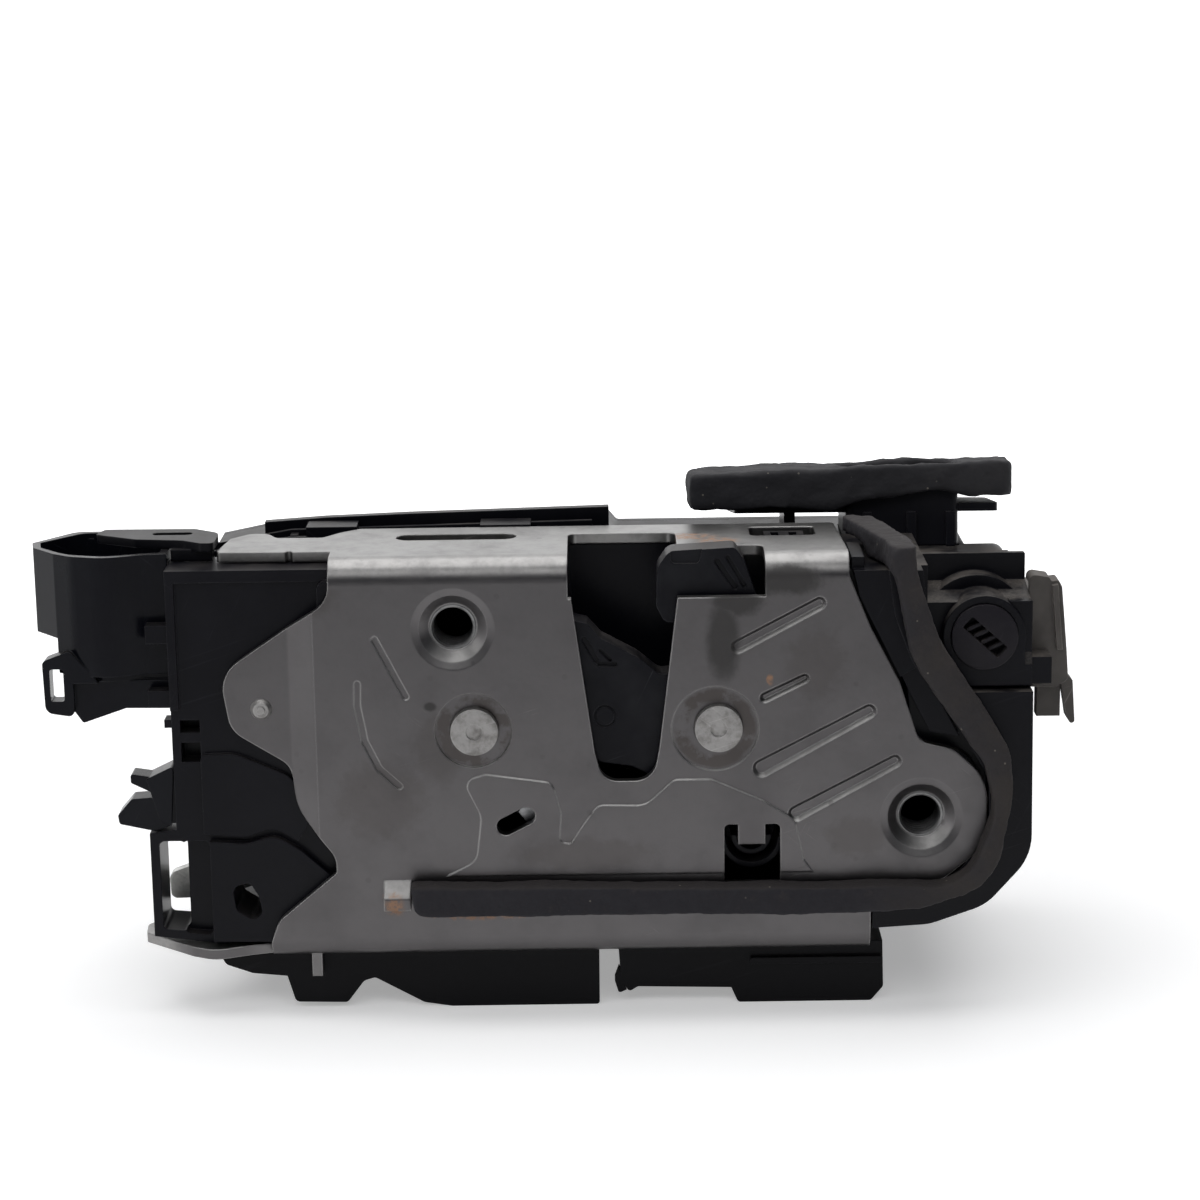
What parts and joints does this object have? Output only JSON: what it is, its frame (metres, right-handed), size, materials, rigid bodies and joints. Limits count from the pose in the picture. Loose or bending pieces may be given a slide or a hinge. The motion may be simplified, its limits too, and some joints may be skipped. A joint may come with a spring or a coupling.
{
  "type": "car door lock",
  "caption": "Powered car door lock: bent steel frame plate with striker mouth, rotary catch and pawl, moulded housings, foam seals and cable cup.",
  "frame": {"origin": "mouth of the thread in the upper fixing hole, on its axis, 2 mm behind the faceplate's front", "axes": "+X along the lock from the cable cup to the seal side, +Y into the lock from the faceplate, +Z towards the open end of the striker mouth"},
  "size_m": [0.1823, 0.0695, 0.0916],
  "materials": {
    "frame_steel": "zinc-plated sheet, satin, greasy at the mouth",
    "pin_steel": "turned and riveted over",
    "nut_steel": "plated",
    "core_steel": "blanked and polished on the nose",
    "catch_plastic": "moulded, greased",
    "magnet": "sintered",
    "spring_steel": "drawn wire",
    "housing_plastic": "fine moulded grain",
    "trim_plastic": "moulded, half gloss",
    "connector_plastic": "moulded",
    "contact_metal": "tinned",
    "foam": "open foam",
    "bumper_rubber": "moulded rubber",
    "plate_steel": "zinc-plated sheet",
    "lever_steel": "plated blank",
    "screw_steel": "plated",
    "motor_steel": "drawn can",
    "worm_steel": "rolled",
    "gear_plastic": "natural acetal",
    "rotor_plastic": "moulded",
    "sensor_plastic": "moulded"
  },
  "bodies": {
    "lock_body": {"actuator_case": "housing_plastic", "actuator_cover": "housing_plastic", "back_plate": "plate_steel", "bridge_cover": "trim_plastic", "cable_clip": "trim_plastic", "cable_shroud": "trim_plastic", "catch_pin": "pin_steel", "catch_sensor": "sensor_plastic", "catch_spring": "spring_steel", "connector_gasket": "foam", "connector_pins": "contact_metal", "connector_shroud": "connector_plastic", "contact_strips": "contact_metal", "cover_screws": "screw_steel", "edge_seal": "foam", "fixing_nuts": "nut_steel", "frame_plate": "frame_steel", "latch_housing": "housing_plastic", "lever_bush": "lever_steel", "lever_spring": "spring_steel", "lever_stud": "lever_steel", "lock_motor": "motor_steel", "lower_guard_left": "trim_plastic", "lower_guard_right": "trim_plastic", "pawl_pin": "pin_steel", "pawl_spring": "spring_steel", "side_cover": "trim_plastic", "small_rivet": "pin_steel", "striker_bumper": "bumper_rubber"},
    "catch": {"catch_core": "core_steel", "catch_cover": "catch_plastic", "catch_magnet": "magnet"},
    "pawl": {"pawl_core": "core_steel", "pawl_cover": "catch_plastic"},
    "outside_release": {"outside_lever": "lever_steel"},
    "inside_release": {"inside_lever": "lever_steel"},
    "emergency_lock": {"emergency_rotor": "rotor_plastic"},
    "drive_wheel": {"worm_wheel": "gear_plastic"},
    "drive_worm": {"worm_shaft": "worm_steel"},
    "locking_lever": {"lock_lever": "gear_plastic"}
  },
  "joints": [
    {"name": "catch_turn", "type": "hinge", "parent": "lock_body", "child": "catch", "pos_m": [0.0453, 0.0034, -0.018], "axis": [0, -1, 0], "range_deg": [0, 70], "stiffness_Nm_per_rad": 0.05, "springref_deg": -28.65, "deforming": ["catch_spring"]},
    {"name": "pawl_turn", "type": "hinge", "parent": "lock_body", "child": "pawl", "pos_m": [0.0033, 0.0034, -0.018], "axis": [0, -1, 0], "range_deg": [0, 12], "deforming": ["pawl_spring"]},
    {"name": "outside_release_turn", "type": "hinge", "parent": "lock_body", "child": "outside_release", "pos_m": [-0.03, 0.0182, -0.042], "axis": [0, 1, 0], "range_deg": [-10, 0], "stiffness_Nm_per_rad": 0.04, "springref_deg": 28.65, "deforming": ["lever_spring"]},
    {"name": "inside_release_turn", "type": "hinge", "parent": "lock_body", "child": "inside_release", "pos_m": [-0.03, 0.0207, -0.042], "axis": [0, 1, 0], "range_deg": [-9, 0], "stiffness_Nm_per_rad": 0.04, "springref_deg": 28.65},
    {"name": "emergency_turn", "type": "hinge", "parent": "lock_body", "child": "emergency_lock", "pos_m": [0.091, 0.004, -0.0029], "axis": [0, 1, 0], "range_deg": [0, 90]},
    {"name": "drive_wheel_turn", "type": "hinge", "parent": "lock_body", "child": "drive_wheel", "pos_m": [0.044, 0.039, -0.02], "axis": [0, 1, 0], "range_deg": [0, 120]},
    {"name": "worm_turn", "type": "hinge", "parent": "lock_body", "child": "drive_worm", "pos_m": [0.044, 0.039, -0.038], "axis": [1, 0, 0], "range_deg": [0, 2880]},
    {"name": "locking_lever_turn", "type": "hinge", "parent": "lock_body", "child": "locking_lever", "pos_m": [0.024, 0.039, -0.02], "axis": [0, 1, 0], "range_deg": [-40, 0]}
  ],
  "couplings": [
    {"joint": "worm_turn", "follows": "drive_wheel_turn", "ratio": 24},
    {"joint": "locking_lever_turn", "follows": "drive_wheel_turn", "ratio": -0.33333}
  ]
}
